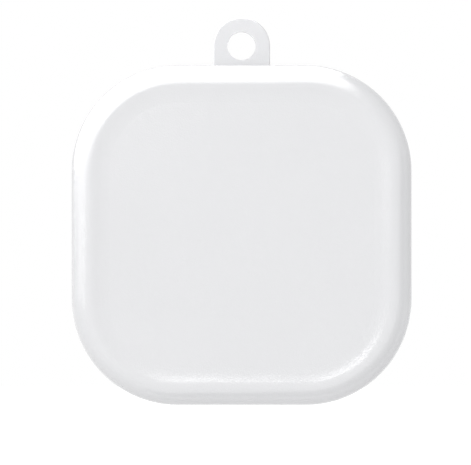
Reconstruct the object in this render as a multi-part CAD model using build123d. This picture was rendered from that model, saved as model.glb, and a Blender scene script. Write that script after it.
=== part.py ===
from build123d import *
import os
from math import cos, radians, sin, sqrt

# A small USB-powered radio repeater in a white rounded-square case with a hanging eye at its top.
# X is to the right as seen from the front, Y points to the wall behind, and Z is up. The origin is on
# the axis of the eye's hole, in the plane of the case's back. Lengths are in millimetres.
# A depth is a distance in front of the back plane, so a point at depth d has Y = -d.

# Case
body_side = 50.0
body_corner_radius = 15.6
body_depth = 13.0
front_edge_radius = 2.9
back_edge_radius = 2.4
shell_wall = 1.8
back_wall = 1.6
inner_corner_radius = 0.4

# The front face's shallow dish: the slope where its rim turns inward, and the radius of the cove below it
dish_slope = 12.0
dish_cove_radius = 10.0

# Hanging eye
eye_width = 8.5
eye_hole_diameter = 4.2
eye_rise = 3.2
eye_thickness = 2.4
eye_edge_radius = 0.22

# Joint between the two covers
lip_thickness = 0.8
lip_height = 1.2
lip_clearance = 0.1
seam_chamfer = 0.22
notch_margin = 0.5

# Screws
screw_diameter = 2.0
screw_head_diameter = 3.6
screw_head_height = 1.3
screw_head_rounding = 0.45
recess_width = 0.6
recess_length = 2.1
recess_depth = 0.8
recess_turn = 20.0
case_screw_length = 7.0
board_screw_length = 4.0
thread_fit = 0.02
screw_hole_clearance = 0.15
blind_hole_spare = 0.5

# Screw bosses
boss_inset = 9.0
boss_wall = 1.3
boss_gap = 0.1
screw_seat_depth = 2.2
well_clearance = 0.3
well_wall = 1.1
gusset_thickness = 1.0
gusset_drop = 1.2

# Action button
button_diameter = 6.4
button_recess = 0.3
button_gap = 0.2
button_flange_width = 0.9
button_flange_thickness = 0.8
button_nub_diameter = 2.4
button_nub_length = 0.7
button_dish_depth = 0.25
button_dish_rim = 0.5
button_rise = 16.0
button_travel = 0.25
collar_wall = 0.8
collar_height = 1.7

# Blank label on the back
label_width = 27.0
label_height = 14.0
label_corner_radius = 1.6
label_thickness = 0.14
label_recess = 0.2
label_gap = 0.15
label_rise = 31.0

# Tactile switch
switch_side = 5.2
switch_height = 2.5
switch_body_height = 1.5
switch_sheet = 0.2
switch_well_diameter = 3.8
switch_floor = 0.4
plunger_diameter = 2.0
plunger_flange_diameter = 3.0
plunger_flange_thickness = 0.35
plunger_clearance = 0.1
dome_diameter = 3.4
dome_sheet = 0.08
switch_lead_width = 0.7
switch_lead_reach = 1.0
switch_lead_spacing = 3.7
switch_tab_width = 2.2
switch_tab_length = 0.9

# Main board
board_thickness = 1.0
board_gap = 0.5
board_boss_gap = 0.5
board_screw_inset = 6.5
locating_pin_diameter = 1.8
locating_pin_fit = 0.1
locating_pin_shoulder = 3.2
locating_pin_spacing = 21.0
locating_pin_inset = 6.0
antenna_notch_width = 14.0
antenna_notch_height = 4.0

# Power socket, micro-B
usb_width = 7.5
usb_height = 2.5
usb_length = 5.4
usb_sheet = 0.3
usb_corner_cut = 0.9
usb_mouth_flare = 0.3
usb_flare_length = 0.4
usb_setback = 0.6
usb_opening_gap = 0.3
usb_opening_radius = 1.0
usb_leg_length = 0.9
usb_leg_inset = 1.1
usb_leg_spacing = 1.8
usb_leg_gap = 0.2
usb_core_length = 1.7
usb_tongue_width = 3.7
usb_tongue_thickness = 0.6
usb_tongue_length = 2.6
usb_tongue_offset = 0.2
usb_contact_count = 5
usb_contact_pitch = 0.65
usb_contact_width = 0.35
usb_contact_thickness = 0.15
usb_contact_inlay = 0.1
usb_contact_setback = 0.3
usb_tail_length = 0.9

# Status lamp and its light pipe
pipe_diameter = 1.8
pipe_gap = 0.05
pipe_offset = 7.0
pipe_flange_thickness = 0.4
pipe_crown = 0.15
lamp_gap = 0.2
lamp_inset = 2.3
lamp_width = 3.0
lamp_height = 1.9
lamp_length = 1.6
lamp_window_width = 1.9
lamp_window_height = 1.1
lamp_window_depth = 0.35
lamp_window_offset = 0.95
lamp_end = 0.4

# Radio module
radio_width = 12.8
radio_length = 17.8
radio_board_thickness = 0.8
radio_top_gap = 1.2
radio_antenna_length = 4.6
shield_width = 11.6
shield_length = 12.0
shield_height = 1.5
shield_sheet = 0.2
shield_corner_radius = 0.5
radio_chip_side = 5.0
radio_chip_height = 0.85
radio_chip_drop = 1.5
crystal_width = 2.0
crystal_length = 1.6
crystal_height = 0.5
antenna_track = 0.5
antenna_pitch = 1.1
antenna_copper = 0.07
antenna_edge_gap = 0.7
antenna_turns = 4
solder_pitch = 1.27
solder_count = 8
solder_width = 0.6
solder_reach = 0.7

# Chips on the board: length, width, height and the width of a tinned end
capacitor_size = (3.2, 1.6, 1.5, 0.5)
resistor_size = (1.6, 0.8, 0.45, 0.3)
fuse_size = (3.2, 1.6, 0.8, 0.5)
bead_size = (2.0, 1.25, 0.9, 0.4)
diode_size = (1.7, 1.3, 0.9)
regulator_size = (6.5, 3.5, 1.6)
regulator_lead_pitch = 2.3
regulator_lead_width = 0.75
regulator_tab_width = 3.0
memory_size = (5.0, 4.0, 1.5)
memory_lead_count = 4
memory_lead_pitch = 1.27
memory_lead_width = 0.42
lead_thickness = 0.22
lead_reach = 1.3
lead_shoulder = 0.5
package_chamfer = 0.2
test_pad_diameter = 1.5
test_pad_pitch = 2.54
test_pad_count = 5
test_pad_thickness = 0.05

# Places on the board: X from its middle, and Z above the middle of the case or above its lower edge
regulator_place = (-8.5, -8.5)
memory_place = (8.5, -8.5)
front_capacitor_places = [(-8.5, -2.5), (-8.5, -14.2), (0.0, -5.0)]
front_resistor_places = [(3.4, -1.2), (8.5, -2.6), (11.4, -2.6), (0.0, -8.4), (0.0, -10.4), (0.0, -12.4)]
back_resistor_places = [(-8.4, 13.2), (-8.4, 15.2), (8.4, 13.2)]
fuse_place = (-7.6, 5.6)
bead_place = (-7.4, 8.4)
diode_place = (-7.4, 10.8)
test_pad_rise = 14.5

# How far a cut runs on past the surface that it opens
overcut = 1.0

# Worked out from the sizes above
mid_z = -(body_side / 2 + eye_rise)
low_z = mid_z - body_side / 2
board_back = back_wall + button_flange_thickness + button_nub_length + switch_height
board_front = board_back + board_thickness
seam_depth = board_back - usb_height / 2
rim_width = front_edge_radius * sin(radians(dish_slope))
rim_drop = front_edge_radius * (1 - cos(radians(dish_slope)))
cove_width = dish_cove_radius * sin(radians(dish_slope))
dish_depth = rim_drop + dish_cove_radius * (1 - cos(radians(dish_slope)))
front_face = body_depth - dish_depth
front_inside = front_face - shell_wall
core_reach = body_side / 2 - body_corner_radius
boss_diameter = screw_diameter + 2 * boss_wall
well_diameter = screw_head_diameter + 2 * well_clearance
thread_hole = screw_diameter + 2 * thread_fit
through_hole = screw_diameter + 2 * screw_hole_clearance
boss_reach = body_side / 2 - boss_inset
boss_places = [(x, z) for x in (-boss_reach, boss_reach) for z in (-boss_reach, boss_reach)]
board_screw_reach = body_side / 2 - board_screw_inset
board_screw_places = [(-board_screw_reach, 0), (board_screw_reach, 0)]
pin_places = [(s * locating_pin_spacing / 2, body_side / 2 - locating_pin_inset) for s in (-1, 1)]
button_z = low_z + button_rise
label_z = low_z + label_rise
board_low_z = low_z + shell_wall + board_gap
far_away = 4 * body_side


# Drawing aids

def slab(outline, near, far):
    """The solid of an outline drawn in X and Z, between two depths."""
    plane = Plane(origin=(0, -near, 0), x_dir=(1, 0, 0), z_dir=(0, -1, 0))
    return extrude(plane * outline, far - near)


def peg(x, z, diameter, near, far):
    """A round pin along Y at a place in X and Z, between two depths."""
    return slab(Pos(x, z) * Circle(diameter / 2), near, far)


def column(outline, low, high):
    """The solid of an outline drawn in X and Y, between two heights."""
    return extrude(Plane(origin=(0, 0, low), x_dir=(1, 0, 0), z_dir=(0, 0, 1)) * outline, high - low)


def case_outline(inset):
    """The case's rounded square seen from the front, drawn in by an inset."""
    side = body_side - 2 * inset
    return Pos(0, mid_z) * RectangleRounded(side, side, body_corner_radius - inset)


def carried_round(profile, near, far):
    """Carries a profile round the case: straight along its four sides and turned about its four corners.

    The profile's X is the distance outward from a corner's centre, and its Y is minus the depth. The square
    between the four centres is filled from the near depth to the far one.
    """
    low = Plane(origin=(core_reach, 0, mid_z - core_reach), x_dir=(1, 0, 0), z_dir=(0, 0, 1))
    high = Plane(origin=(core_reach, 0, mid_z + core_reach), x_dir=(1, 0, 0), z_dir=(0, 0, 1))
    corner_axis = Axis((core_reach, 0, mid_z + core_reach), (0, -1, 0))
    quarter = extrude(low * profile, 2 * core_reach) + revolve(high * profile, corner_axis, 90)
    solid = slab(Pos(0, mid_z) * Rectangle(2 * core_reach, 2 * core_reach), near, far)
    for turn in range(4):
        solid += Pos(0, 0, mid_z) * Rot(0, 90 * turn, 0) * Pos(0, 0, -mid_z) * quarter
    return solid


def make_outer():
    """The whole case's outside: a rounded back edge, a rounded rim and a cove down to the dished face."""
    edge = body_corner_radius
    rim_depth = body_depth - front_edge_radius
    cove_top = edge - front_edge_radius - rim_width
    cove_low = cove_top - cove_width
    cove_depth = body_depth - rim_drop
    profile = make_face([
        Line((0, 0), (edge - back_edge_radius, 0)),
        RadiusArc((edge - back_edge_radius, 0), (edge, -back_edge_radius), back_edge_radius),
        Line((edge, -back_edge_radius), (edge, -rim_depth)),
        RadiusArc((edge, -rim_depth), (cove_top, -cove_depth), front_edge_radius),
        RadiusArc((cove_top, -cove_depth), (cove_low, -front_face), -dish_cove_radius),
        Line((cove_low, -front_face), (0, -front_face)),
        Line((0, -front_face), (0, 0)),
    ])
    return carried_round(profile, 0, front_face)


def make_cavity():
    """The space inside the two covers, with its back and front edges rounded."""
    space = slab(case_outline(shell_wall), back_wall, front_inside)
    space = fillet(space.faces().sort_by(Axis.Y)[-1].edges(), inner_corner_radius)
    return fillet(space.faces().sort_by(Axis.Y)[0].edges(), front_edge_radius - shell_wall)


def ring(outer_inset, inner_inset, near, far):
    """A band that follows the case's outline between two insets and two depths."""
    return slab(case_outline(outer_inset) - case_outline(inner_inset), near, far)


def on_front(x, z):
    """A plane on the board's front face, looking to the front, at a place measured from its middle."""
    return Plane(origin=(x, -board_front, mid_z + z), x_dir=(1, 0, 0), z_dir=(0, -1, 0))


def on_back(x, rise):
    """A plane on the board's back face, looking to the back, at a height above the case's lower edge."""
    return Plane(origin=(x, -board_back, low_z + rise), x_dir=(-1, 0, 0), z_dir=(0, 1, 0))


def brick(width, length, height, x=0.0, y=0.0, base=0.0):
    """A box that stands on a plane, by its middle in X and Y and the height of its base."""
    return Pos(x, y, base + height / 2) * Box(width, length, height)


def drum(diameter, height, base=0.0):
    """A round drum that stands on a plane, with its base at a height."""
    return Pos(0, 0, base + height / 2) * Cylinder(diameter / 2, height)


def save(shape, node):
    """Writes one node as its own file."""
    export_step(shape, f"parts/{node}.step")


# Case

def usb_cut(grow):
    """The socket's outline in X and Y, wide on its back side and with its two board-side corners cut."""
    half_width = usb_width / 2 + grow
    half_height = usb_height / 2 + grow
    cut = usb_corner_cut + grow * (2 - sqrt(2))
    points = [
        (-half_width, half_height),
        (half_width, half_height),
        (half_width, cut - half_height),
        (half_width - cut, -half_height),
        (cut - half_width, -half_height),
        (-half_width, cut - half_height),
    ]
    return Pos(0, -seam_depth) * make_face(Polyline(*points, close=True))


def port_holes():
    """What is cut through the lower wall for the socket and the light pipe, centred on the seam."""
    opening = 2 * (usb_mouth_flare + usb_opening_gap)
    socket = RectangleRounded(usb_width + opening, usb_height + opening, usb_opening_radius)
    pipe = Circle(pipe_diameter / 2 + pipe_gap)
    holes = Pos(0, -seam_depth) * socket + Pos(pipe_offset, -seam_depth) * pipe
    return column(holes, low_z - overcut, board_low_z)


def lip_gaps():
    """Where the lip is left out, beside the socket and the light pipe."""
    socket_half = usb_width / 2 + usb_mouth_flare + usb_opening_gap + notch_margin
    pipe_half = pipe_diameter / 2 + notch_margin
    left = -socket_half
    right = pipe_offset + pipe_half
    gap = Pos((left + right) / 2, low_z) * Rectangle(right - left, 2 * (board_low_z - low_z))
    return slab(gap, seam_depth, seam_depth + lip_height)


def eye():
    """The flat hanging eye, with a round top about its hole and a stem that runs down into the case."""
    stem_length = eye_rise + back_edge_radius + shell_wall
    outline = Circle(eye_width / 2) + Pos(0, -stem_length / 2) * Rectangle(eye_width, stem_length)
    tab = slab(outline, 0, eye_thickness)
    rims = tab.faces().filter_by(Axis.Y).edges()
    tab = fillet(rims, eye_edge_radius)
    return tab - peg(0, 0, eye_hole_diameter, -overcut, eye_thickness + overcut)


def corner_strip(x, z, width):
    """A strip drawn in X and Z, from a boss towards the case's nearest corner."""
    angle = 45 if x * z > 0 else -45
    outward = 1 if x > 0 else -1
    strip = Rot(0, 0, angle) * Pos(outward * boss_inset / 2, 0) * Rectangle(boss_inset, width)
    return Pos(x, mid_z + z) * strip


def gusset(x, z):
    """A rib at 45 degrees that ties a front boss to the corner of the cover."""
    return slab(corner_strip(x, z, gusset_thickness), board_front + gusset_drop, body_depth)


def make_front_cover(outer, cavity):
    """The front shell with its bosses, board posts, locating pins and the rebate for the lip."""
    front_half = slab(Pos(0, mid_z) * Rectangle(far_away, far_away), seam_depth, far_away)
    posts = []
    for x, z in boss_places:
        posts += [peg(x, mid_z + z, boss_diameter, seam_depth + boss_gap, body_depth), gusset(x, z)]
    for x, z in board_screw_places:
        posts.append(peg(x, mid_z + z, boss_diameter, board_front, body_depth))
    for x, z in pin_places:
        posts.append(peg(x, mid_z + z, locating_pin_shoulder, board_front, body_depth))
        posts.append(peg(x, mid_z + z, locating_pin_diameter, board_back, body_depth))
    cover = outer - cavity
    for post in posts:
        cover += post & outer
    cover = cover & front_half
    rebate = shell_wall - lip_thickness - lip_clearance
    cover -= ring(rebate, shell_wall, seam_depth, seam_depth + lip_height + lip_clearance)
    cover -= port_holes()
    for x, z in boss_places:
        cover -= peg(x, mid_z + z, thread_hole, 0, screw_seat_depth + case_screw_length + blind_hole_spare)
    for x, z in board_screw_places:
        cover -= peg(x, mid_z + z, thread_hole, 0, board_back + board_screw_length + blind_hole_spare)
    return cover - seam_groove(1)


def seam_groove(side):
    """Half of the fine V groove along the seam: 1 is the half in the front cover, -1 the rear cover's."""
    plane = Plane(origin=(0, -seam_depth, 0), x_dir=(side, 0, 0), z_dir=(0, -side, 0))
    band = extrude(plane * case_outline(-overcut), seam_chamfer)
    return band - extrude(plane * case_outline(seam_chamfer), seam_chamfer, taper=-45)


def make_rear_cover(outer, cavity):
    """The rear shell with the eye, the lip, the screw wells and the button's hole and collar."""
    rear_half = slab(Pos(0, mid_z) * Rectangle(far_away, far_away), -far_away, seam_depth)
    collar_bore = button_diameter + 2 * button_flange_width + 2 * button_gap
    cover = outer - cavity
    for x, z in boss_places:
        cover += peg(x, mid_z + z, well_diameter + 2 * well_wall, back_wall / 2, seam_depth) & outer
    collar = peg(0, button_z, collar_bore + 2 * collar_wall, back_wall, back_wall + collar_height)
    cover += collar - peg(0, button_z, collar_bore, back_wall, far_away)
    cover = (cover & rear_half) - port_holes()
    cover += ring(shell_wall - lip_thickness, shell_wall, seam_depth, seam_depth + lip_height) - lip_gaps()
    cover += eye() - cavity
    for x, z in boss_places:
        cover -= peg(x, mid_z + z, well_diameter, -overcut, screw_seat_depth)
        cover -= peg(x, mid_z + z, through_hole, 0, seam_depth + overcut)
    cover -= peg(0, button_z, button_diameter + 2 * button_gap, -overcut, back_wall)
    label_room = 2 * label_gap
    recess = RectangleRounded(label_width + label_room, label_height + label_room, label_corner_radius)
    cover -= slab(Pos(0, label_z) * recess, -overcut, label_recess)
    return cover - seam_groove(-1)


def make_label():
    """The blank label in its shallow recess on the back."""
    outline = RectangleRounded(label_width, label_height, label_corner_radius - label_gap)
    return slab(Pos(0, label_z) * outline, label_recess - label_thickness, label_recess)


def make_screw(x, z, seat, length):
    """A pan-head screw driven from the back, its thread drawn as a plain shank."""
    head = peg(x, z, screw_head_diameter, seat - screw_head_height, seat)
    head = fillet(head.faces().sort_by(Axis.Y)[-1].edges(), screw_head_rounding)
    cross = Rectangle(recess_width, recess_length) + Rectangle(recess_length, recess_width)
    mouth = seat - screw_head_height
    head -= slab(Pos(x, z) * Rot(0, 0, recess_turn) * cross, mouth, mouth + recess_depth)
    return head + peg(x, z, screw_diameter, seat, seat + length)


# Action button

def make_button():
    """The round cap with a dished face, a flange behind the wall and a nub that meets the switch."""
    flange_back = back_wall
    flange_front = flange_back + button_flange_thickness
    cap = peg(0, button_z, button_diameter, button_recess, flange_back)
    rim_radius = button_diameter / 2 - button_dish_rim
    ball_radius = (rim_radius ** 2 + button_dish_depth ** 2) / (2 * button_dish_depth)
    cap -= Pos(0, ball_radius - button_recess - button_dish_depth, button_z) * Sphere(ball_radius)
    cap += peg(0, button_z, button_diameter + 2 * button_flange_width, flange_back, flange_front)
    return cap + peg(0, button_z, button_nub_diameter, flange_front, flange_front + button_nub_length)


# Tactile switch, drawn standing on the board's back face

def switch_plane():
    return on_back(0, button_rise)


def make_switch_base():
    """The moulded base with a round well for the dome and the plunger's flange."""
    height = switch_body_height - switch_sheet
    base = brick(switch_side, switch_side, height) - drum(switch_well_diameter, height, base=switch_floor)
    return switch_plane() * base


def make_switch_cover():
    """The sheet cover that keeps the plunger in, with two tabs down the sides of the base."""
    top = switch_body_height - switch_sheet
    sheet = brick(switch_side, switch_side, switch_sheet, base=top)
    sheet -= drum(plunger_diameter + 2 * plunger_clearance, switch_height)
    for side in (-1, 1):
        middle = side * (switch_side + switch_sheet) / 2
        drop = switch_tab_length + switch_sheet
        sheet += brick(switch_sheet, switch_tab_width, drop, x=middle, base=top - switch_tab_length)
    return switch_plane() * sheet


def make_switch_plunger():
    """The round stem with a flange under the sheet cover."""
    flange_top = switch_body_height - switch_sheet
    flange_base = flange_top - plunger_flange_thickness
    stem = drum(plunger_diameter, switch_height - flange_base, base=flange_base)
    flange = drum(plunger_flange_diameter, plunger_flange_thickness, base=flange_base)
    return switch_plane() * (stem + flange)


def make_switch_dome():
    """The snap dome, a cap of a sphere that stands on the well's floor and meets the plunger."""
    crown = switch_body_height - switch_sheet - plunger_flange_thickness
    rise = crown - switch_floor
    radius = ((dome_diameter / 2) ** 2 + rise ** 2) / (2 * rise)
    ball = Pos(0, 0, crown - radius) * (Sphere(radius) - Sphere(radius - dome_sheet))
    return switch_plane() * (ball & brick(2 * radius, 2 * radius, 2 * rise, base=switch_floor))


def make_switch_leads():
    """Four bent leads on the two sides of the base that the cover's tabs are on."""
    leads = []
    for side in (-1, 1):
        for end in (-1, 1):
            y = end * switch_lead_spacing / 2
            foot_middle = side * (switch_side + switch_lead_reach) / 2
            foot = brick(switch_lead_reach, switch_lead_width, switch_sheet, x=foot_middle, y=y)
            riser_middle = side * (switch_side + switch_sheet) / 2
            riser = brick(switch_sheet, switch_lead_width, switch_body_height / 2, x=riser_middle, y=y)
            leads.append(switch_plane() * (foot + riser))
    return Compound(leads)


# Main board

def make_main_board():
    """The board, notched round the bosses and the antenna, with its screw, pin and leg holes."""
    outline = case_outline(shell_wall + board_gap)
    notch_radius = boss_diameter / 2 + board_boss_gap
    for x, z in boss_places:
        outline -= Pos(x, mid_z + z) * Circle(notch_radius) + corner_strip(x, z, 2 * notch_radius)
    for x, z in board_screw_places:
        outline -= Pos(x, mid_z + z) * Circle(through_hole / 2)
    for x, z in pin_places:
        outline -= Pos(x, mid_z + z) * Circle(locating_pin_diameter / 2 + locating_pin_fit)
    top_edge = mid_z + body_side / 2 - shell_wall - board_gap
    outline -= Pos(0, top_edge) * Rectangle(antenna_notch_width, 2 * antenna_notch_height)
    for x, z in usb_leg_places():
        slot_length = usb_leg_length + 2 * usb_leg_gap
        outline -= Pos(x, z) * Rectangle(usb_sheet + 2 * usb_leg_gap, slot_length)
    return slab(outline, board_back, board_front)


def make_test_pads():
    """A row of round gold pads on the board's back face."""
    first = -(test_pad_count - 1) / 2
    disc = drum(test_pad_diameter, test_pad_thickness)
    rise = body_side / 2 + test_pad_rise
    return Compound([on_back((first + n) * test_pad_pitch, rise) * disc for n in range(test_pad_count)])


# Power socket

def usb_mouth_z():
    return low_z + usb_setback


def usb_leg_places():
    """The four legs' places in X and Z, two on each side of the shell."""
    x = (usb_width - usb_sheet) / 2
    low = board_low_z + usb_leg_inset
    return [(side * x, low + n * usb_leg_spacing) for side in (-1, 1) for n in (0, 1)]


def make_usb_shell():
    """The folded steel shell: a tube with cut corners, a flared mouth and four legs through the board."""
    mouth = usb_mouth_z()
    throat = mouth + usb_flare_length
    back = mouth + usb_length
    tube = column(usb_cut(0) - usb_cut(-usb_sheet), throat, back)
    wide, narrow = Plane.XY.offset(mouth), Plane.XY.offset(throat)
    flare_outside = loft([wide * usb_cut(usb_mouth_flare), narrow * usb_cut(0)])
    flare_inside = loft([wide * usb_cut(usb_mouth_flare - usb_sheet), narrow * usb_cut(-usb_sheet)])
    shell = tube + (flare_outside - flare_inside)
    leg_start = seam_depth + usb_height / 2 - usb_corner_cut - usb_sheet
    for x, z in usb_leg_places():
        shell += slab(Pos(x, z) * Rectangle(usb_sheet, usb_leg_length), leg_start, board_front)
    return shell


def usb_contact_boxes():
    """Each contact as three boxes: the strip along the tongue, the drop behind the core and the tail."""
    back = usb_mouth_z() + usb_length
    tip = back - usb_core_length - usb_tongue_length + usb_contact_setback
    strip_near = seam_depth - usb_tongue_offset + usb_tongue_thickness / 2 - usb_contact_inlay
    strip_far = strip_near + usb_contact_thickness
    contacts = []
    for n in range(usb_contact_count):
        x = (n - (usb_contact_count - 1) / 2) * usb_contact_pitch
        spans = [
            (tip, back + usb_contact_thickness, strip_near, strip_far),
            (back, back + usb_contact_thickness, strip_near, board_back),
            (back, back + usb_tail_length, board_back - usb_contact_thickness, board_back),
        ]
        strips = [
            slab(Pos(x, (low + high) / 2) * Rectangle(usb_contact_width, high - low), near, far)
            for low, high, near, far in spans
        ]
        contacts.append(strips[0] + strips[1] + strips[2])
    return contacts


def make_usb_insulator():
    """The moulded core in the back of the shell and the tongue that carries the contacts."""
    back = usb_mouth_z() + usb_length
    core_front = back - usb_core_length
    core = column(usb_cut(-usb_sheet), core_front, back)
    tongue = Pos(0, usb_tongue_offset - seam_depth) * Rectangle(usb_tongue_width, usb_tongue_thickness)
    core += column(tongue, core_front - usb_tongue_length, core_front)
    for contact in usb_contact_boxes():
        core -= contact
    return core


# Status lamp

def make_light_pipe():
    """The clear pin from the lamp to the lower wall, with a small flange inside the wall."""
    lamp_face = board_low_z + lamp_inset
    outer_end = low_z + pipe_crown
    flange_radius = board_back - seam_depth - pipe_gap
    flange_low = low_z + shell_wall
    here = Pos(pipe_offset, -seam_depth)
    pipe = column(here * Circle(pipe_diameter / 2), outer_end, lamp_face - lamp_gap)
    pipe += column(here * Circle(flange_radius), flange_low, flange_low + pipe_flange_thickness)
    radius = pipe_diameter / 2
    ball = (radius ** 2 + pipe_crown ** 2) / (2 * pipe_crown)
    crown = Pos(pipe_offset, -seam_depth, low_z + ball) * Sphere(ball)
    return pipe + (crown & column(here * Circle(radius), low_z, outer_end + pipe_crown))


def lamp_plane():
    """The board's back face at the middle of the lamp's lower edge."""
    return on_back(pipe_offset, board_low_z + lamp_inset - low_z)


def lamp_window():
    """The window's box, on the lamp's lower face."""
    return brick(
        lamp_window_width, lamp_window_depth, lamp_window_height,
        y=lamp_window_depth / 2, base=lamp_window_offset - lamp_window_height / 2)


def make_lamp_housing():
    middle = lamp_width - 2 * lamp_end
    return lamp_plane() * (brick(middle, lamp_length, lamp_height, y=lamp_length / 2) - lamp_window())


def make_lamp_window():
    return lamp_plane() * lamp_window()


def make_lamp_ends():
    reach = (lamp_width - lamp_end) / 2
    return Compound([
        lamp_plane() * brick(lamp_end, lamp_length, lamp_height / 2, x=side * reach, y=lamp_length / 2)
        for side in (-1, 1)])


# Radio module, drawn standing on the board's front face with its antenna end up

def radio_plane():
    top = body_side / 2 - shell_wall - radio_top_gap
    return on_front(0, top - radio_length / 2)


def shield_middle():
    """The shield's middle, measured up from the middle of the module."""
    clear = radio_length - radio_antenna_length
    return -radio_length / 2 + clear / 2


def make_radio_board():
    return radio_plane() * brick(radio_width, radio_length, radio_board_thickness)


def make_radio_shield():
    """The thin steel can, open towards the module's board."""
    outline = RectangleRounded(shield_width, shield_length, shield_corner_radius)
    inside_width = shield_width - 2 * shield_sheet
    inside_length = shield_length - 2 * shield_sheet
    inside = RectangleRounded(inside_width, inside_length, shield_corner_radius - shield_sheet)
    can = extrude(outline, shield_height) - extrude(inside, shield_height - shield_sheet)
    return radio_plane() * Pos(0, shield_middle(), radio_board_thickness) * can


def make_radio_chip():
    place = shield_middle() - radio_chip_drop
    chip = brick(radio_chip_side, radio_chip_side, radio_chip_height, y=place, base=radio_board_thickness)
    return radio_plane() * chip


def make_radio_crystal():
    x = shield_width / 2 - shield_sheet - crystal_width
    y = shield_middle() + shield_length / 2 - shield_sheet - crystal_length
    return radio_plane() * brick(
        crystal_width, crystal_length, crystal_height, x=x, y=y, base=radio_board_thickness)


def make_radio_antenna():
    """The copper meander: bars side by side along X, joined by turn at their upper and lower ends."""
    top = radio_length / 2 - antenna_edge_gap
    bottom = radio_length / 2 - radio_antenna_length + antenna_edge_gap
    bars = 2 * antenna_turns + 1
    track = None
    for n in range(bars):
        x = (n - (bars - 1) / 2) * antenna_pitch
        strip = Pos(x, (top + bottom) / 2) * Rectangle(antenna_track, top - bottom)
        track = strip if track is None else track + strip
        if n < bars - 1:
            end = top - antenna_track / 2 if n % 2 == 0 else bottom + antenna_track / 2
            track += Pos(x + antenna_pitch / 2, end) * Rectangle(antenna_pitch, antenna_track)
    return radio_plane() * Pos(0, 0, radio_board_thickness) * extrude(track, antenna_copper)


def make_radio_solder():
    """Wedges of solder down both long sides of the module."""
    wedge = make_face(Polyline((0, 0), (solder_reach, 0), (0, radio_board_thickness), close=True))
    lowest = -radio_length / 2 + solder_pitch + solder_width / 2
    joints = []
    for n in range(solder_count):
        start = lowest + n * solder_pitch
        plane = Plane(origin=(radio_width / 2, start, 0), x_dir=(1, 0, 0), z_dir=(0, -1, 0))
        right = extrude(plane * wedge, solder_width)
        joints += [radio_plane() * right, radio_plane() * mirror(right, about=Plane.YZ)]
    return Compound(joints)


# Chips

def chip_body(size):
    length, width, height, end = size
    return brick(length - 2 * end, width, height)


def chip_end_pair(size):
    length, width, height, end = size
    return [brick(end, width, height, x=side * (length - end) / 2) for side in (-1, 1)]


def package(size):
    """A moulded package with a bevel round its top."""
    body = brick(*size)
    return chamfer(body.faces().sort_by(Axis.Z)[-1].edges(), package_chamfer)


def gull_lead(width, start, height):
    """A bent lead along X from a package's side: shoulder, drop and foot."""
    lead = brick(lead_shoulder, width, lead_thickness, x=start + lead_shoulder / 2, base=height / 2)
    lead += brick(lead_thickness, width, height / 2 + lead_thickness, x=start + lead_shoulder)
    foot = lead_reach - lead_shoulder
    return lead + brick(foot, width, lead_thickness, x=start + lead_shoulder + foot / 2)


def make_regulator_leads():
    """Three narrow leads below the package and one wide tab above it."""
    _, width, height = regulator_size
    here = on_front(*regulator_place)
    lead = gull_lead(regulator_lead_width, width / 2, height)
    tab = gull_lead(regulator_tab_width, width / 2, height)
    leads = [here * Pos(n * regulator_lead_pitch, 0, 0) * Rot(0, 0, -90) * lead for n in (-1, 0, 1)]
    return Compound([*leads, here * Rot(0, 0, 90) * tab])


def make_memory_leads():
    """Four leads on each long side of the package."""
    _, width, height = memory_size
    here = on_front(*memory_place)
    lead = gull_lead(memory_lead_width, width / 2, height)
    first = -(memory_lead_count - 1) / 2
    return Compound([
        here * Pos((first + n) * memory_lead_pitch, 0, 0) * Rot(0, 0, turn) * lead
        for turn in (-90, 90) for n in range(memory_lead_count)])


def chip_places():
    """Every plain chip: its kind, its size and the plane it stands on."""
    chips = [("capacitor", capacitor_size, on_front(*place)) for place in front_capacitor_places]
    chips += [("resistor", resistor_size, on_front(*place)) for place in front_resistor_places]
    chips += [("resistor", resistor_size, on_back(*place)) for place in back_resistor_places]
    chips.append(("fuse", fuse_size, on_back(*fuse_place)))
    chips.append(("bead", bead_size, on_back(*bead_place)))
    return chips


def chips_of(kind):
    return Compound([plane * chip_body(size) for name, size, plane in chip_places() if name == kind])


def make_chip_ends():
    ends = []
    for _, size, plane in chip_places():
        ends += [plane * end for end in chip_end_pair(size)]
    return Compound(ends)


os.makedirs("parts", exist_ok=True)

outer = make_outer()
cavity = make_cavity()

save(make_front_cover(outer, cavity), "front_cover")
save(make_rear_cover(outer, cavity), "rear_cover")
save(make_label(), "rear_label")
case_screws = [make_screw(x, mid_z + z, screw_seat_depth, case_screw_length) for x, z in boss_places]
save(Compound(case_screws), "case_screws")
board_screws = [make_screw(x, mid_z + z, board_back, board_screw_length) for x, z in board_screw_places]
save(Compound(board_screws), "board_screws")
save(make_button(), "action_button")

save(make_switch_base(), "switch_base")
save(make_switch_cover(), "switch_cover")
save(make_switch_plunger(), "switch_plunger")
save(make_switch_dome(), "switch_dome")
save(make_switch_leads(), "switch_leads")

save(make_main_board(), "main_board")
save(make_test_pads(), "test_pads")

save(make_usb_shell(), "usb_shell")
save(make_usb_insulator(), "usb_insulator")
save(Compound(usb_contact_boxes()), "usb_contacts")

save(make_light_pipe(), "light_pipe")
save(make_lamp_housing(), "lamp_housing")
save(make_lamp_window(), "lamp_window")
save(make_lamp_ends(), "lamp_ends")

save(make_radio_board(), "radio_board")
save(make_radio_shield(), "radio_shield")
save(make_radio_chip(), "radio_chip")
save(make_radio_crystal(), "radio_crystal")
save(make_radio_antenna(), "radio_antenna")
save(make_radio_solder(), "radio_solder")

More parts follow.
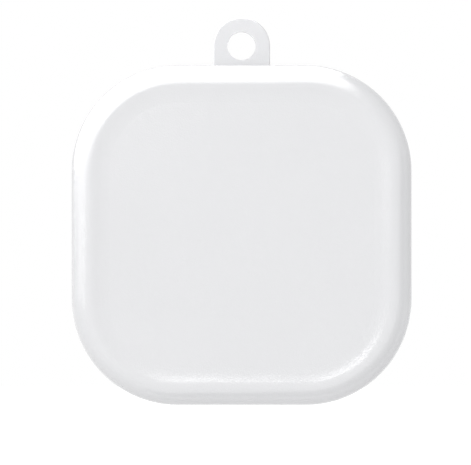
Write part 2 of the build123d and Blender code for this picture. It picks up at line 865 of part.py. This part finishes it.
save(on_front(*regulator_place) * package(regulator_size), "regulator_body")
save(make_regulator_leads(), "regulator_leads")
save(on_front(*memory_place) * package(memory_size), "memory_body")
save(make_memory_leads(), "memory_leads")
save(on_back(*diode_place) * package(diode_size), "surge_diode")
save(chips_of("capacitor"), "capacitors")
save(chips_of("resistor"), "resistors")
save(chips_of("fuse"), "resettable_fuse")
save(chips_of("bead"), "ferrite_bead")
save(make_chip_ends(), "chip_ends")
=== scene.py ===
from math import radians

import bpy
from bpy.props import FloatProperty, FloatVectorProperty, PointerProperty
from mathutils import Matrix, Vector


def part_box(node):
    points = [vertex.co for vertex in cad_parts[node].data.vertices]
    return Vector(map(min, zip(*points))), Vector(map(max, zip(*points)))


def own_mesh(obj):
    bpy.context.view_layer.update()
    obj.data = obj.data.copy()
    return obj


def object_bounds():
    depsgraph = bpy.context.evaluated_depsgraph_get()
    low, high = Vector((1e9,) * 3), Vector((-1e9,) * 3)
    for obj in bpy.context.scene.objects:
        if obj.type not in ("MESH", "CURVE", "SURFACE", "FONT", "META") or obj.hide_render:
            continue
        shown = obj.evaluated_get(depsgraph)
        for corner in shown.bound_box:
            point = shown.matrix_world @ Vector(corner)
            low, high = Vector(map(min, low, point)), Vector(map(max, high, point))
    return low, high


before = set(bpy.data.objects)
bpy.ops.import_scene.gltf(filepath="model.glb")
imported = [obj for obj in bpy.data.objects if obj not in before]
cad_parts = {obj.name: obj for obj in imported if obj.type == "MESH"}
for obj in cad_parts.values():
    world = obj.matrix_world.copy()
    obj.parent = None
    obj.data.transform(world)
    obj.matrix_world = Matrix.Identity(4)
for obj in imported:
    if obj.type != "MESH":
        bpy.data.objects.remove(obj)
cad_low, cad_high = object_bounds()

bl_info = {
    "name": "Range extender looks",
    "version": (1, 0, 0),
    "blender": (4, 5, 0),
    "location": "3D View > Sidebar > Extender",
    "description": "Finishes and studio for a small hanging radio repeater",
    "category": "Object",
}

MM = 0.001


# Places read from the imported CAD pieces

case_low, case_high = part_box("front_cover")
case_middle = (case_low + case_high) / 2


# Settings

def colour(name, description, value):
    """A colour that can be set."""
    return FloatVectorProperty(
        name=name, description=description, subtype="COLOR", size=3, min=0, max=1, default=value)


def factor(name, description, value):
    """A share from 0 to 1 that can be set."""
    return FloatProperty(name=name, description=description, subtype="FACTOR", min=0, max=1, default=value)


def length(name, description, millimetres):
    """A length that can be set, with its default in millimetres."""
    return FloatProperty(
        name=name, description=description, subtype="DISTANCE", unit="LENGTH", min=0,
        default=millimetres * MM)


class CaseFinish(bpy.types.PropertyGroup):
    """Finish of the covers, the button and the label"""
    shell: colour("Shell", "Colour of the two covers", (0.81, 0.813, 0.828))
    button: colour("Button", "Colour of the action button", (0.76, 0.765, 0.78))
    label: colour("Label", "Colour of the blank film label", (0.70, 0.705, 0.72))
    gloss: factor("Roughness", "Roughness of the polished shell", 0.13)
    grain: length("Grain", "Size of the fine grain in the moulded surface", 0.2)
    grain_depth: length("Grain depth", "Height of that grain", 0.018)


class MetalFinish(bpy.types.PropertyGroup):
    """Colours of the screws, the socket, the leads and the other metal parts"""
    zinc: colour("Zinc", "Colour of the plated screws", (0.60, 0.60, 0.60))
    nickel: colour("Nickel", "Colour of the socket's shell", (0.70, 0.69, 0.67))
    tin: colour("Tin", "Colour of the leads and the chips' ends", (0.74, 0.74, 0.75))
    can: colour("Can", "Colour of the radio's tinned can", (0.68, 0.68, 0.66))
    spring: colour("Spring", "Colour of the switch's snap dome", (0.64, 0.62, 0.58))
    gold: colour("Gold", "Colour of the contacts and test pads", (0.80, 0.58, 0.24))
    copper: colour("Copper", "Colour of the antenna's track", (0.72, 0.42, 0.24))


class BoardFinish(bpy.types.PropertyGroup):
    """Colours of the two boards and of the bodies on them"""
    mask: colour("Board mask", "Colour of the main board's mask", (0.02, 0.16, 0.07))
    module: colour("Module mask", "Colour of the radio module's mask", (0.01, 0.035, 0.12))
    resin: colour("Resin", "Colour of the black moulded bodies", (0.025, 0.025, 0.028))
    capacitor: colour("Capacitor", "Colour of the capacitors", (0.42, 0.29, 0.17))
    fuse: colour("Fuse", "Colour of the resettable fuse", (0.03, 0.16, 0.08))
    ferrite: colour("Ferrite", "Colour of the ferrite bead", (0.09, 0.09, 0.10))


class LampFinish(bpy.types.PropertyGroup):
    """Colours of the status lamp and its light pipe"""
    clear: colour("Clear", "Tint of the light pipe", (0.90, 0.93, 0.95))
    ivory: colour("Ivory", "Colour of the lamp's moulding", (0.80, 0.77, 0.68))
    gel: colour("Gel", "Colour of the gel in the lamp's window", (0.85, 0.66, 0.14))


class StudioSettings(bpy.types.PropertyGroup):
    """Light, floor and camera of the studio"""
    backdrop: colour("Backdrop", "Colour of the background", (1.0, 1.0, 1.0))
    floor: colour("Floor", "Colour of the floor under the hanging case", (0.74, 0.74, 0.74))
    fill: FloatProperty(name="Fill", description="Strength of the light from all round", default=1.02, min=0)
    sides: factor("Sides", "Share of the fill that comes evenly from all sides", 0.5)
    lean: factor("Lean", "How far the fill leans to the upper left", 0.32)
    key: FloatProperty(
        name="Key", description="Power of the soft lamp at the upper left", default=0.6, min=0, unit="POWER")
    cards: FloatProperty(
        name="Cards", description="Strength of the white cards that show as reflections", default=6.3, min=0)
    lens: FloatProperty(
        name="Lens", description="Focal length of the camera", default=300.0, min=50, unit="CAMERA")


# Node helpers

def rgba(colour, share=1.0):
    """A colour times a share, no brighter than white, with an alpha of one."""
    return (*[min(channel * share, 1.0) for channel in colour], 1.0)


class Nodes:
    """A node tree, with short ways to add and join its nodes."""

    def __init__(self, tree):
        self.tree = tree

    def add(self, kind, **values):
        """A new node, with values for its sockets and its own settings."""
        node = self.tree.nodes.new("ShaderNode" + kind)
        for name, value in values.items():
            if name in node.inputs:
                self.join(value, node.inputs[name])
            else:
                setattr(node, name, value)
        return node

    def join(self, value, socket):
        """Feeds a socket with another node's result or with a plain value."""
        if isinstance(value, bpy.types.NodeSocket):
            self.tree.links.new(value, socket)
        else:
            socket.default_value = value

    def reckon(self, operation, *values, kind="Math"):
        """The result of one math node fed with values or other nodes' results."""
        node = self.add(kind, operation=operation)
        for value, socket in zip(values, node.inputs):
            self.join(value, socket)
        return node.outputs["Value"]

    def span(self, value, low, high, start=0.25, end=0.75):
        """Maps a value between start and end to low and high."""
        names = {"Value": value, "From Min": start, "From Max": end, "To Min": low, "To Max": high}
        return self.add("MapRange", **names).outputs["Result"]

    def seen(self):
        """One where the camera sees a surface itself, in a mirror or through glass, and nought elsewhere."""
        ray = self.add("LightPath").outputs
        bent = self.reckon("MAXIMUM", ray["Is Glossy Ray"], ray["Is Transmission Ray"])
        return self.reckon("MAXIMUM", ray["Is Camera Ray"], bent)


class Shader(Nodes):
    """One material's node tree."""

    # Length of one stripe of the wave texture at a scale of 1
    plain_stripe = 0.314

    # Places of the colour sockets among the Mix node's inputs and outputs
    first_colour = 6
    second_colour = 7
    mixed_colour = 2

    def __init__(self, name):
        self.material = bpy.data.materials.new(name)
        self.material.use_nodes = True
        super().__init__(self.material.node_tree)
        self.surface = self.tree.nodes["Principled BSDF"]
        self.place = self.add("TexCoord").outputs["Object"]

    def set(self, **values):
        """Gives the surface's sockets plain values."""
        for name, value in values.items():
            self.surface.inputs[name.replace("_", " ")].default_value = value
        return self

    def feed(self, **links):
        """Joins nodes' results to the surface's sockets, and hands over the finished material."""
        for name, output in links.items():
            self.tree.links.new(output, self.surface.inputs[name.replace("_", " ")])
        return self.material

    def noise(self, size, detail=2.0, stretch=(1, 1, 1)):
        """Noise from 0 to 1 with blotches of a size in metres, longer along the axes with a large stretch."""
        scale = [1 / (size * s) for s in stretch]
        place = self.add("Mapping", Vector=self.place, Scale=scale).outputs["Vector"]
        return self.add("TexNoise", Vector=place, Scale=1.0, Detail=detail).outputs["Fac"]

    def stripes(self, size, axis):
        """Soft stripes from 0 to 1, one to each size in metres along an axis."""
        node = self.add(
            "TexWave", wave_type="BANDS", bands_direction=axis, wave_profile="SIN",
            Vector=self.place, Scale=self.plain_stripe / size)
        return node.outputs["Fac"]

    def mix(self, factor, first, second):
        """A colour between two others."""
        node = self.add("Mix", data_type="RGBA", blend_type="MIX")
        self.join(factor, node.inputs["Factor"])
        self.join(first, node.inputs[self.first_colour])
        self.join(second, node.inputs[self.second_colour])
        return node.outputs[self.mixed_colour]

    def tones(self, pattern, base, darkest, lightest):
        """A base colour times a share that goes from the darkest to the lightest with a pattern."""
        return self.mix(self.span(pattern, 0, 1), rgba(base, darkest), rgba(base, lightest))

    def bump(self, height, depth, under=None):
        """A relief as deep as depth where height goes from 0 to 1, on top of another relief."""
        node = self.add("Bump", Height=height, Distance=depth, Strength=1.0)
        if under is not None:
            self.tree.links.new(under, node.inputs["Normal"])
        return node.outputs["Normal"]


# Finishes

def moulded_plastic(name, base, roughness, grain, grain_depth):
    """Moulded plastic: a faint drift in tone, a fine grain and slow waves from the mould."""
    drift_size = 14 * MM
    wave_size = 4 * MM
    wave_depth = 0.002 * MM
    shader = Shader(name).set(IOR=1.52)
    waves = shader.noise(wave_size)
    fine = shader.noise(grain, detail=1.0)
    tone = shader.tones(shader.noise(drift_size), base, darkest=0.992, lightest=1.008)
    rough = shader.span(waves, roughness * 0.92, roughness * 1.08)
    bumps = shader.bump(fine, grain_depth, under=shader.bump(waves, wave_depth))
    return shader.feed(Base_Color=tone, Roughness=rough, Normal=bumps)


def plated_metal(name, base, roughness, stretch=(1, 1, 1)):
    """Plated metal with fine marks drawn out along one axis and a cloudy tone."""
    mark_size = 0.12 * MM
    mark_depth = 0.002 * MM
    cloud_size = 2 * MM
    shader = Shader(name).set(Metallic=1.0)
    marks = shader.noise(mark_size, stretch=stretch)
    tone = shader.tones(shader.noise(cloud_size), base, darkest=0.9, lightest=1.06)
    rough = shader.span(marks, roughness * 0.8, roughness * 1.3)
    return shader.feed(Base_Color=tone, Roughness=rough, Normal=shader.bump(marks, mark_depth))


def laminate(name, base):
    """Glass-epoxy board: a woven cloth of crossed stripes that shows faintly through the coloured mask, and
    paler raised patches where copper lies under it."""
    thread_size = 0.5 * MM
    thread_depth = 0.004 * MM
    copper_size = 3 * MM
    copper_depth = 0.03 * MM
    gloss_size = 0.4 * MM
    shader = Shader(name)
    weave = shader.reckon("MULTIPLY", shader.stripes(thread_size, "X"), shader.stripes(thread_size, "Z"))
    copper = shader.span(shader.noise(copper_size, detail=0.0), 0, 1, start=0.49, end=0.51)
    woven = shader.mix(weave, rgba(base, 0.85), rgba(base, 1.15))
    tone = shader.mix(copper, woven, rgba(base, 1.5))
    rough = shader.span(shader.noise(gloss_size), 0.28, 0.42)
    bumps = shader.bump(copper, copper_depth, under=shader.bump(weave, thread_depth))
    return shader.feed(Base_Color=tone, Roughness=rough, Normal=bumps)


def grainy_body(name, base, roughness):
    """Moulding resin or ceramic: a speckled tone and a fine rough grain."""
    grain = 0.08 * MM
    grain_depth = 0.004 * MM
    cloud_size = 0.8 * MM
    shader = Shader(name)
    fine = shader.noise(grain, detail=3.0)
    tone = shader.tones(fine, base, darkest=0.75, lightest=1.3)
    rough = shader.span(shader.noise(cloud_size), roughness * 0.85, roughness * 1.15)
    return shader.feed(Base_Color=tone, Roughness=rough, Normal=shader.bump(fine, grain_depth))


def clear_plastic(name, tint):
    """Clear plastic with a slight drift in its tint and its polish."""
    drift_size = 1.5 * MM
    drift_depth = 0.001 * MM
    polish_size = 0.5 * MM
    shader = Shader(name).set(IOR=1.58, Transmission_Weight=1.0)
    drift = shader.noise(drift_size)
    tone = shader.tones(drift, tint, darkest=0.97, lightest=1.02)
    rough = shader.span(shader.noise(polish_size), 0.05, 0.12)
    return shader.feed(Base_Color=tone, Roughness=rough, Normal=shader.bump(drift, drift_depth))


def dress(material, *nodes):
    """Gives carried-over CAD nodes their material."""
    for node in nodes:
        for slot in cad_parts[node].material_slots:
            slot.material = material


# Operators

class EXTENDER_OT_case(bpy.types.Operator):
    """Finishes the covers, the button and the label"""
    bl_idname = "extender.case"
    bl_label = "Finish the case"

    def execute(self, context):
        finish = context.scene.extender_case
        grain, depth = finish.grain, finish.grain_depth
        shell = moulded_plastic("shell_plastic", finish.shell, finish.gloss, grain, depth)
        button = moulded_plastic(
            "button_plastic", finish.button, roughness=0.25, grain=grain, grain_depth=depth * 2)
        film = moulded_plastic("label_film", finish.label, roughness=0.42, grain=grain / 3, grain_depth=depth)
        dress(shell, "front_cover", "rear_cover")
        dress(button, "action_button")
        dress(film, "rear_label")
        return {"FINISHED"}


class EXTENDER_OT_metal(bpy.types.Operator):
    """Finishes the screws, the socket, the leads and the other metal parts"""
    bl_idname = "extender.metal"
    bl_label = "Finish the metal parts"

    def execute(self, context):
        finish = context.scene.extender_metal
        dress(
            plated_metal("screw_zinc", finish.zinc, roughness=0.35, stretch=(1, 20, 1)),
            "case_screws", "board_screws")
        dress(plated_metal("socket_nickel", finish.nickel, roughness=0.3, stretch=(1, 1, 20)), "usb_shell")
        dress(
            plated_metal("bright_tin", finish.tin, roughness=0.28),
            "switch_cover", "switch_leads", "lamp_ends", "radio_solder", "regulator_leads", "memory_leads",
            "chip_ends")
        dress(
            plated_metal("tinned_can", finish.can, roughness=0.3, stretch=(12, 1, 1)),
            "radio_shield", "radio_crystal")
        dress(plated_metal("spring_steel", finish.spring, roughness=0.25), "switch_dome")
        dress(plated_metal("gold_plate", finish.gold, roughness=0.3), "usb_contacts", "test_pads")
        dress(plated_metal("copper_track", finish.copper, roughness=0.35), "radio_antenna")
        return {"FINISHED"}


class EXTENDER_OT_dome(bpy.types.Operator):
    """Gives the switch's snap dome a mesh of its own, not shared with other pieces"""
    bl_idname = "extender.dome"
    bl_label = "Flatten the dome"

    def execute(self, context):
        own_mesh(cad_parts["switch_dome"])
        return {"FINISHED"}


class EXTENDER_OT_board(bpy.types.Operator):
    """Finishes the two boards and the moulded and ceramic bodies on them"""
    bl_idname = "extender.board"
    bl_label = "Finish the boards"

    def execute(self, context):
        finish = context.scene.extender_board
        dress(laminate("board_mask", finish.mask), "main_board")
        dress(laminate("module_mask", finish.module), "radio_board")
        dress(
            grainy_body("black_resin", finish.resin, roughness=0.55),
            "switch_base", "switch_plunger", "usb_insulator", "radio_chip", "regulator_body", "memory_body",
            "surge_diode", "resistors")
        dress(grainy_body("tan_ceramic", finish.capacitor, roughness=0.6), "capacitors")
        dress(grainy_body("fuse_body", finish.fuse, roughness=0.5), "resettable_fuse")
        dress(grainy_body("grey_ferrite", finish.ferrite, roughness=0.7), "ferrite_bead")
        return {"FINISHED"}


class EXTENDER_OT_lamp(bpy.types.Operator):
    """Finishes the status lamp and its light pipe"""
    bl_idname = "extender.lamp"
    bl_label = "Finish the lamp"

    def execute(self, context):
        finish = context.scene.extender_lamp
        dress(clear_plastic("clear_pipe", finish.clear), "light_pipe")
        dress(grainy_body("ivory_body", finish.ivory, roughness=0.4), "lamp_housing")
        dress(grainy_body("yellow_gel", finish.gel, roughness=0.2), "lamp_window")
        return {"FINISHED"}


def facing(distance, outline):
    """Corners of a flat shape drawn in X and Z, upright at a distance in front of the case's middle."""
    return [(x, -distance, z) for x, z in outline]


class EXTENDER_OT_studio(bpy.types.Operator):
    """Makes the floor, the background, the lamp, the cards and the camera"""
    bl_idname = "extender.studio"
    bl_label = "Set up the studio"

    # The photograph's frame, and where the case lies in it
    frame_width = 471
    frame_height = 465
    case_middle_x = 241.6
    case_middle_y = 235.1
    case_width = 339.0

    # How far the floor lies below the hanging case, half its side's length, and its glow where it is seen
    floor_drop = 0.045
    floor_half = 1.2
    floor_glow = 0.6

    # The direction from which the fill is stronger
    bright_side = Vector((-0.77, 0.0, 0.64))

    # The direction and distance in which the lamp stands from the case, and its side's length
    lamp_side = Vector((-0.52, -0.78, 0.30)).normalized()
    lamp_distance = 0.8
    lamp_size = 0.5

    # Corners of the cards, in metres from the middle of the case. The front card makes the bright band along
    # the top and the upper left, and its lower right edges end it. The top card, above the case and to its
    # left, brightens the outermost edge there. The dark card, close in front at the lower right, deepens the
    # dark band, and its upper left edges end it.
    front_card = facing(0.4, [
        (-0.09, 0.041), (-0.016, 0.076), (0.002, 0.133), (0.062, 0.154), (0.176, 0.295), (0.87, 1.52),
        (-2.2, 1.52), (-2.2, -0.01), (-0.3, 0.01), (-0.17, 0.062)])
    top_card = [(-0.9, -0.25, 0.03), (-0.9, 0.45, 0.03), (0.19, 0.45, 0.479), (0.19, -0.25, 0.479)]
    dark_card = facing(0.0242, [
        (0.1, 0.04), (0.05, 0.017), (0.044, 0.005), (0.044, -0.004), (0.041, -0.009), (0.031, -0.022),
        (0.018, -0.033), (0.009, -0.0345), (0.0, -0.042), (-0.009, -0.042), (-0.023, -0.047), (-0.03, -0.1),
        (0.1, -0.1)])

    def execute(self, context):
        studio = context.scene.extender_studio
        self.make_floor(studio)
        self.make_background(context, studio)
        self.make_key(studio)
        self.make_card("front_card", self.front_card, studio.cards)
        self.make_card("top_card", self.top_card, studio.cards)
        self.make_card("dark_card", self.dark_card, strength=0.0)
        self.make_camera(context, studio)
        context.scene.view_settings.view_transform = "Standard"
        return {"FINISHED"}

    def plane(self, name, corners, material):
        """A flat face between corners, kept apart from the object's own pieces."""
        mesh = bpy.data.meshes.new(name)
        mesh.from_pydata(corners, [], [tuple(range(len(corners)))])
        mesh.materials.append(material)
        flat = bpy.data.objects.new(name, mesh)
        bpy.context.collection.objects.link(flat)
        return flat

    def make_floor(self, studio):
        """A white floor, see-through to a camera below it."""
        shader = Shader("floor_white").set(
            Base_Color=rgba(studio.floor), Roughness=0.9, Specular_IOR_Level=0.0,
            Emission_Color=rgba(studio.backdrop))
        glow = shader.span(shader.seen(), 0.0, self.floor_glow, start=0, end=1)
        camera = shader.add("LightPath").outputs["Is Camera Ray"]
        beneath = shader.add("NewGeometry").outputs["Backfacing"]
        solid = shader.span(shader.reckon("MULTIPLY", camera, beneath), 1.0, 0.0, start=0, end=1)
        material = shader.feed(Emission_Strength=glow, Alpha=solid)
        half = self.floor_half
        z = cad_low.z - self.floor_drop
        corners = [(-half, -half, z), (half, -half, z), (half, half, z), (-half, half, z)]
        self.plane("floor", corners, material)

    def make_background(self, context, studio):
        """White where it is seen. Elsewhere it is a fill that is weaker from the sides than from the front
        and the back, and stronger from the upper left than from the lower right."""
        world = bpy.data.worlds.new("studio")
        context.scene.world = world
        world.use_nodes = True
        light = world.node_tree.nodes["Background"]
        light.inputs["Color"].default_value = rgba(studio.backdrop)
        nodes = Nodes(world.node_tree)
        ray = nodes.add("TexCoord").outputs["Generated"]
        depth = nodes.reckon("DOT_PRODUCT", ray, (0, 1, 0), kind="VectorMath")
        toward = nodes.reckon("DOT_PRODUCT", ray, self.bright_side, kind="VectorMath")
        # The even fill is the sides' share from a side, and 2 minus that share from the front or the back
        ends = nodes.reckon("MULTIPLY", depth, depth)
        even = nodes.reckon("MULTIPLY_ADD", ends, 2 * (1 - studio.sides), studio.sides)
        leaning = nodes.reckon("MULTIPLY_ADD", toward, studio.lean, even)
        fill = nodes.reckon("MULTIPLY", leaning, studio.fill)
        nodes.join(nodes.span(nodes.seen(), fill, 1.0, start=0, end=1), light.inputs["Strength"])

    def make_key(self, studio):
        """A soft square lamp at the upper left, in front."""
        lamp = bpy.data.lights.new("key", "AREA")
        lamp.energy = studio.key
        lamp.size = self.lamp_size
        holder = bpy.data.objects.new("key", lamp)
        holder.location = case_middle + self.lamp_distance * self.lamp_side
        holder.rotation_euler = (-self.lamp_side).to_track_quat("-Z", "Y").to_euler()
        holder.visible_camera = False
        bpy.context.collection.objects.link(holder)

    def make_card(self, name, corners, strength):
        """A card that shows only as a reflection and lights nothing, black where its strength is nought."""
        shader = Shader(name).set(Base_Color=(0, 0, 0, 1), Emission_Color=(1, 1, 1, 1))
        scattered = shader.add("LightPath").outputs["Diffuse Depth"]
        material = shader.feed(Emission_Strength=shader.span(scattered, strength, 0.0, start=0, end=1))
        card = self.plane(name, [case_middle + Vector(corner) for corner in corners], material)
        card.visible_camera = False
        card.visible_diffuse = False
        card.visible_transmission = False
        card.visible_shadow = False

    def make_camera(self, context, studio):
        """Looks straight along +Y, far enough away that the case is as wide as in the photograph."""
        camera = bpy.data.cameras.new("camera")
        camera.lens = studio.lens
        holder = bpy.data.objects.new("camera", camera)
        context.collection.objects.link(holder)
        scale = (case_high.x - case_low.x) / self.case_width
        distance = scale * self.frame_width * camera.lens / camera.sensor_width
        x = case_middle.x + (self.frame_width / 2 - self.case_middle_x) * scale
        z = case_middle.z + (self.case_middle_y - self.frame_height / 2) * scale
        holder.location = (x, case_middle.y - distance, z)
        holder.rotation_euler = (radians(90), 0, 0)
        context.scene.camera = holder


class EXTENDER_PT_panel(bpy.types.Panel):
    """Lists the settings and the steps that dress the model"""
    bl_label = "Range extender"
    bl_idname = "EXTENDER_PT_panel"
    bl_space_type = "VIEW_3D"
    bl_region_type = "UI"
    bl_category = "Extender"

    def draw(self, context):
        for settings in SETTINGS:
            group = getattr(context.scene, settings)
            for name in group.__annotations__:
                self.layout.prop(group, name)
        for operator in OPERATORS:
            self.layout.operator(operator.bl_idname)


SETTINGS = {
    "extender_case": CaseFinish,
    "extender_metal": MetalFinish,
    "extender_board": BoardFinish,
    "extender_lamp": LampFinish,
    "extender_studio": StudioSettings,
}
OPERATORS = [
    EXTENDER_OT_case, EXTENDER_OT_metal, EXTENDER_OT_dome, EXTENDER_OT_board, EXTENDER_OT_lamp,
    EXTENDER_OT_studio]


def register():
    for kind in [*SETTINGS.values(), *OPERATORS, EXTENDER_PT_panel]:
        bpy.utils.register_class(kind)
    for name, kind in SETTINGS.items():
        setattr(bpy.types.Scene, name, PointerProperty(type=kind))


def unregister():
    for name in SETTINGS:
        delattr(bpy.types.Scene, name)
    for kind in reversed([*SETTINGS.values(), *OPERATORS, EXTENDER_PT_panel]):
        bpy.utils.unregister_class(kind)


def main():
    register()
    bpy.ops.extender.case()
    bpy.ops.extender.metal()
    bpy.ops.extender.dome()
    bpy.ops.extender.board()
    bpy.ops.extender.lamp()
    bpy.ops.extender.studio()


if __name__ == "__main__":
    main()
